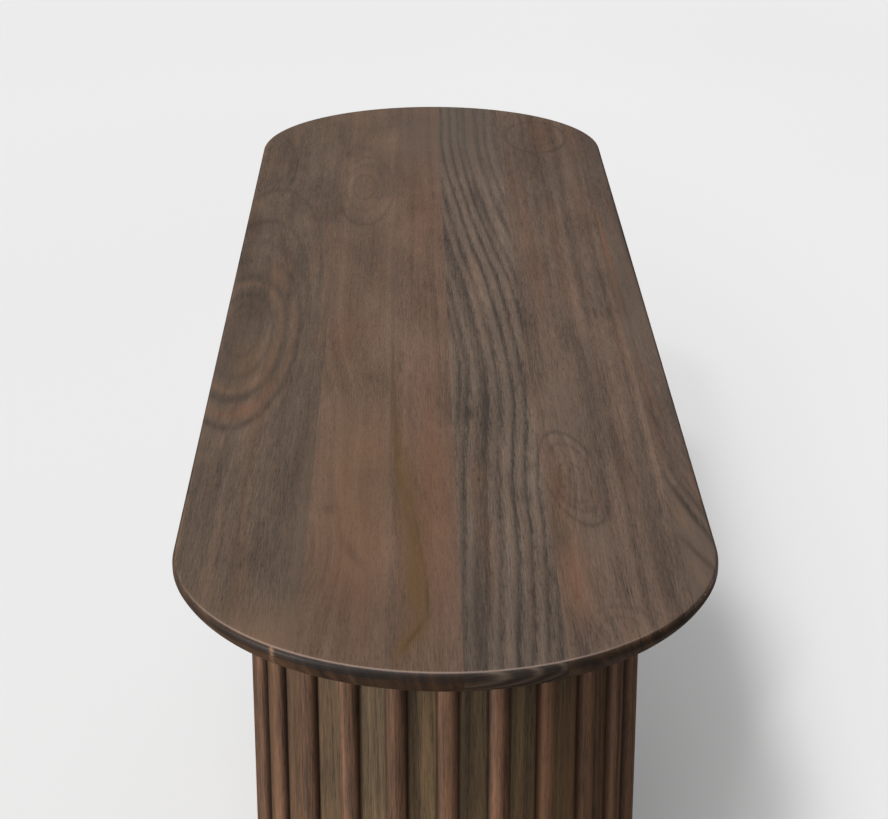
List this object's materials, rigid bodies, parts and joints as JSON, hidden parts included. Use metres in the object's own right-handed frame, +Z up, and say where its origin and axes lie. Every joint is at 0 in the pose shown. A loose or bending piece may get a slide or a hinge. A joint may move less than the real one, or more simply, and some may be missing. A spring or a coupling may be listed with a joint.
{
  "type": "hall table",
  "caption": "Narrow hall table: pill-shaped solid timber top with an under-bevelled edge, on two round staved drums dressed with half-round ribs.",
  "frame": {"origin": "on the floor, below the middle of the top", "axes": "+X along the table, towards the end that the picture is taken from; -Y the front long side, on the left in the picture; +Z up"},
  "size_m": [1.4, 0.365, 0.78],
  "materials": {
    "top_timber": "satin lacquer",
    "stave_timber": "satin lacquer",
    "rib_timber": "satin lacquer",
    "plywood": "sawn",
    "zinc_steel": "zinc plated",
    "insert_brass": "plain",
    "nylon": "moulded"
  },
  "bodies": {
    "root": {"left_bolts": "zinc_steel", "left_bottom_ring": "plywood", "left_glide_screws": "zinc_steel", "left_glides": "nylon", "left_middle_ring": "plywood", "left_ribs_1": "rib_timber", "left_ribs_2": "rib_timber", "left_ribs_3": "rib_timber", "left_ribs_4": "rib_timber", "left_ribs_5": "rib_timber", "left_ribs_6": "rib_timber", "left_ribs_7": "rib_timber", "left_ribs_8": "rib_timber", "left_staves_1": "stave_timber", "left_staves_2": "stave_timber", "left_staves_3": "stave_timber", "left_staves_4": "stave_timber", "left_staves_5": "stave_timber", "left_staves_6": "stave_timber", "left_staves_7": "stave_timber", "left_staves_8": "stave_timber", "left_threaded_inserts": "insert_brass", "left_top_plate": "plywood", "left_washers": "zinc_steel", "right_bolts": "zinc_steel", "right_bottom_ring": "plywood", "right_glide_screws": "zinc_steel", "right_glides": "nylon", "right_middle_ring": "plywood", "right_ribs_1": "rib_timber", "right_ribs_2": "rib_timber", "right_ribs_3": "rib_timber", "right_ribs_4": "rib_timber", "right_ribs_5": "rib_timber", "right_ribs_6": "rib_timber", "right_ribs_7": "rib_timber", "right_ribs_8": "rib_timber", "right_staves_1": "stave_timber", "right_staves_2": "stave_timber", "right_staves_3": "stave_timber", "right_staves_4": "stave_timber", "right_staves_5": "stave_timber", "right_staves_6": "stave_timber", "right_staves_7": "stave_timber", "right_staves_8": "stave_timber", "right_threaded_inserts": "insert_brass", "right_top_plate": "plywood", "right_washers": "zinc_steel", "top_board_1": "top_timber", "top_board_2": "top_timber", "top_board_3": "top_timber", "top_board_4": "top_timber", "top_board_5": "top_timber", "top_board_6": "top_timber"}
  },
  "joints": []
}
